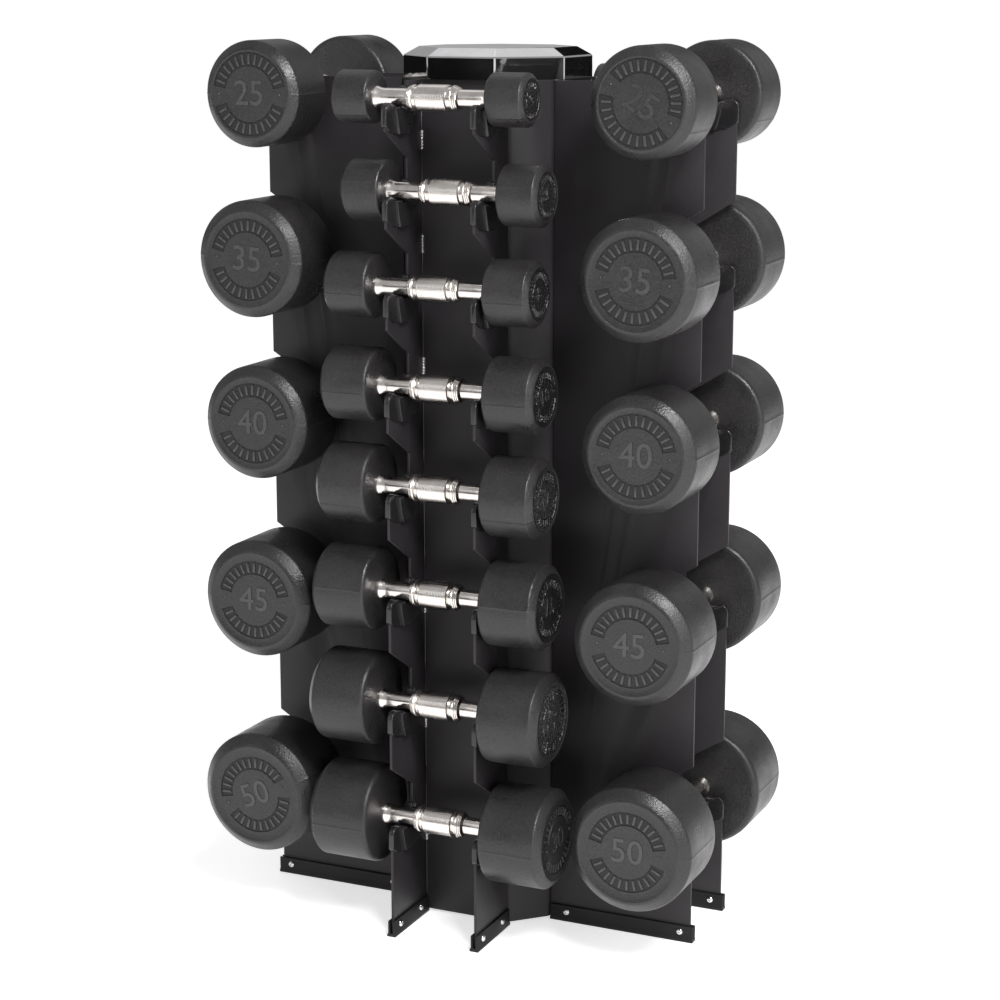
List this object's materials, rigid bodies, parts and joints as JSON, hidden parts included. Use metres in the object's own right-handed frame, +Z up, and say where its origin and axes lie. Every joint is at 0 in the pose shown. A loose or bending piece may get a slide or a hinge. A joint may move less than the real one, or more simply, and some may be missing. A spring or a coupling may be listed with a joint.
{
  "type": "dumbbell rack",
  "caption": "Free-standing four-sided vertical rack: an octagonal steel column with hook plates on each side, holding pairs of round urethane dumbbells by their handles.",
  "frame": {"origin": "on the floor, under the middle of the column", "axes": "+Z up along the column; -Y out of the front, where the lightest dumbbells lie; +X out of the right side"},
  "size_m": [0.639, 0.424, 1.0622],
  "materials": {
    "powder_steel": "satin",
    "cap_chrome": "polished",
    "saddle_plastic": "satin",
    "foot_rubber": "matte",
    "screw_zinc": "satin",
    "head_urethane": "satin",
    "handle_chrome": "polished"
  },
  "bodies": {
    "rack": {"column": "powder_steel", "top_cap": "cap_chrome", "plate_front_left": "powder_steel", "foot_front_left": "foot_rubber", "foot_screw_front_left_outer": "screw_zinc", "foot_screw_front_left_inner": "screw_zinc", "plate_front_right": "powder_steel", "foot_front_right": "foot_rubber", "foot_screw_front_right_outer": "screw_zinc", "foot_screw_front_right_inner": "screw_zinc", "plate_right_left": "powder_steel", "foot_right_left": "foot_rubber", "foot_screw_right_left_outer": "screw_zinc", "foot_screw_right_left_inner": "screw_zinc", "plate_right_right": "powder_steel", "foot_right_right": "foot_rubber", "foot_screw_right_right_outer": "screw_zinc", "foot_screw_right_right_inner": "screw_zinc", "plate_back_left": "powder_steel", "foot_back_left": "foot_rubber", "foot_screw_back_left_outer": "screw_zinc", "foot_screw_back_left_inner": "screw_zinc", "plate_back_right": "powder_steel", "foot_back_right": "foot_rubber", "foot_screw_back_right_outer": "screw_zinc", "foot_screw_back_right_inner": "screw_zinc", "plate_left_left": "powder_steel", "foot_left_left": "foot_rubber", "foot_screw_left_left_outer": "screw_zinc", "foot_screw_left_left_inner": "screw_zinc", "plate_left_right": "powder_steel", "foot_left_right": "foot_rubber", "foot_screw_left_right_outer": "screw_zinc", "foot_screw_left_right_inner": "screw_zinc"},
    "dumbbell_front_3": {"dumbbell_front_3": "head_urethane"},
    "dumbbell_front_5": {"dumbbell_front_5": "head_urethane"},
    "dumbbell_front_8": {"dumbbell_front_8": "head_urethane"},
    "dumbbell_front_10": {"dumbbell_front_10": "head_urethane"},
    "dumbbell_front_12": {"dumbbell_front_12": "head_urethane"},
    "dumbbell_front_15": {"dumbbell_front_15": "head_urethane"},
    "dumbbell_front_20": {"dumbbell_front_20": "head_urethane"},
    "dumbbell_front_30": {"dumbbell_front_30": "head_urethane"},
    "dumbbell_right_25": {"dumbbell_right_25": "head_urethane"},
    "dumbbell_right_35": {"dumbbell_right_35": "head_urethane"},
    "dumbbell_right_40": {"dumbbell_right_40": "head_urethane"},
    "dumbbell_right_45": {"dumbbell_right_45": "head_urethane"},
    "dumbbell_right_50": {"dumbbell_right_50": "head_urethane"},
    "dumbbell_back_3": {"dumbbell_back_3": "head_urethane"},
    "dumbbell_back_5": {"dumbbell_back_5": "head_urethane"},
    "dumbbell_back_8": {"dumbbell_back_8": "head_urethane"},
    "dumbbell_back_10": {"dumbbell_back_10": "head_urethane"},
    "dumbbell_back_12": {"dumbbell_back_12": "head_urethane"},
    "dumbbell_back_15": {"dumbbell_back_15": "head_urethane"},
    "dumbbell_back_20": {"dumbbell_back_20": "head_urethane"},
    "dumbbell_back_30": {"dumbbell_back_30": "head_urethane"},
    "dumbbell_left_25": {"dumbbell_left_25": "head_urethane"},
    "dumbbell_left_35": {"dumbbell_left_35": "head_urethane"},
    "dumbbell_left_40": {"dumbbell_left_40": "head_urethane"},
    "dumbbell_left_45": {"dumbbell_left_45": "head_urethane"},
    "dumbbell_left_50": {"dumbbell_left_50": "head_urethane"}
  },
  "joints": [
    {"name": "lift_front_3", "type": "slide", "parent": "rack", "child": "dumbbell_front_3", "axis": [0, -0.8526, 0.5225], "range_m": [0, 0.28]},
    {"name": "lift_front_5", "type": "slide", "parent": "rack", "child": "dumbbell_front_5", "axis": [0, -0.8526, 0.5225], "range_m": [0, 0.28]},
    {"name": "lift_front_8", "type": "slide", "parent": "rack", "child": "dumbbell_front_8", "axis": [0, -0.8526, 0.5225], "range_m": [0, 0.28]},
    {"name": "lift_front_10", "type": "slide", "parent": "rack", "child": "dumbbell_front_10", "axis": [0, -0.8526, 0.5225], "range_m": [0, 0.28]},
    {"name": "lift_front_12", "type": "slide", "parent": "rack", "child": "dumbbell_front_12", "axis": [0, -0.8526, 0.5225], "range_m": [0, 0.28]},
    {"name": "lift_front_15", "type": "slide", "parent": "rack", "child": "dumbbell_front_15", "axis": [0, -0.8526, 0.5225], "range_m": [0, 0.28]},
    {"name": "lift_front_20", "type": "slide", "parent": "rack", "child": "dumbbell_front_20", "axis": [0, -0.8526, 0.5225], "range_m": [0, 0.28]},
    {"name": "lift_front_30", "type": "slide", "parent": "rack", "child": "dumbbell_front_30", "axis": [0, -0.8526, 0.5225], "range_m": [0, 0.28]},
    {"name": "lift_right_25", "type": "slide", "parent": "rack", "child": "dumbbell_right_25", "axis": [0.8526, 0, 0.5225], "range_m": [0, 0.28]},
    {"name": "lift_right_35", "type": "slide", "parent": "rack", "child": "dumbbell_right_35", "axis": [0.8526, 0, 0.5225], "range_m": [0, 0.28]},
    {"name": "lift_right_40", "type": "slide", "parent": "rack", "child": "dumbbell_right_40", "axis": [0.8526, 0, 0.5225], "range_m": [0, 0.28]},
    {"name": "lift_right_45", "type": "slide", "parent": "rack", "child": "dumbbell_right_45", "axis": [0.8526, 0, 0.5225], "range_m": [0, 0.28]},
    {"name": "lift_right_50", "type": "slide", "parent": "rack", "child": "dumbbell_right_50", "axis": [0.8526, 0, 0.5225], "range_m": [0, 0.28]},
    {"name": "lift_back_3", "type": "slide", "parent": "rack", "child": "dumbbell_back_3", "axis": [0, 0.8526, 0.5225], "range_m": [0, 0.28]},
    {"name": "lift_back_5", "type": "slide", "parent": "rack", "child": "dumbbell_back_5", "axis": [0, 0.8526, 0.5225], "range_m": [0, 0.28]},
    {"name": "lift_back_8", "type": "slide", "parent": "rack", "child": "dumbbell_back_8", "axis": [0, 0.8526, 0.5225], "range_m": [0, 0.28]},
    {"name": "lift_back_10", "type": "slide", "parent": "rack", "child": "dumbbell_back_10", "axis": [0, 0.8526, 0.5225], "range_m": [0, 0.28]},
    {"name": "lift_back_12", "type": "slide", "parent": "rack", "child": "dumbbell_back_12", "axis": [0, 0.8526, 0.5225], "range_m": [0, 0.28]},
    {"name": "lift_back_15", "type": "slide", "parent": "rack", "child": "dumbbell_back_15", "axis": [0, 0.8526, 0.5225], "range_m": [0, 0.28]},
    {"name": "lift_back_20", "type": "slide", "parent": "rack", "child": "dumbbell_back_20", "axis": [0, 0.8526, 0.5225], "range_m": [0, 0.28]},
    {"name": "lift_back_30", "type": "slide", "parent": "rack", "child": "dumbbell_back_30", "axis": [0, 0.8526, 0.5225], "range_m": [0, 0.28]},
    {"name": "lift_left_25", "type": "slide", "parent": "rack", "child": "dumbbell_left_25", "axis": [-0.8526, 0, 0.5225], "range_m": [0, 0.28]},
    {"name": "lift_left_35", "type": "slide", "parent": "rack", "child": "dumbbell_left_35", "axis": [-0.8526, 0, 0.5225], "range_m": [0, 0.28]},
    {"name": "lift_left_40", "type": "slide", "parent": "rack", "child": "dumbbell_left_40", "axis": [-0.8526, 0, 0.5225], "range_m": [0, 0.28]},
    {"name": "lift_left_45", "type": "slide", "parent": "rack", "child": "dumbbell_left_45", "axis": [-0.8526, 0, 0.5225], "range_m": [0, 0.28]},
    {"name": "lift_left_50", "type": "slide", "parent": "rack", "child": "dumbbell_left_50", "axis": [-0.8526, 0, 0.5225], "range_m": [0, 0.28]}
  ]
}
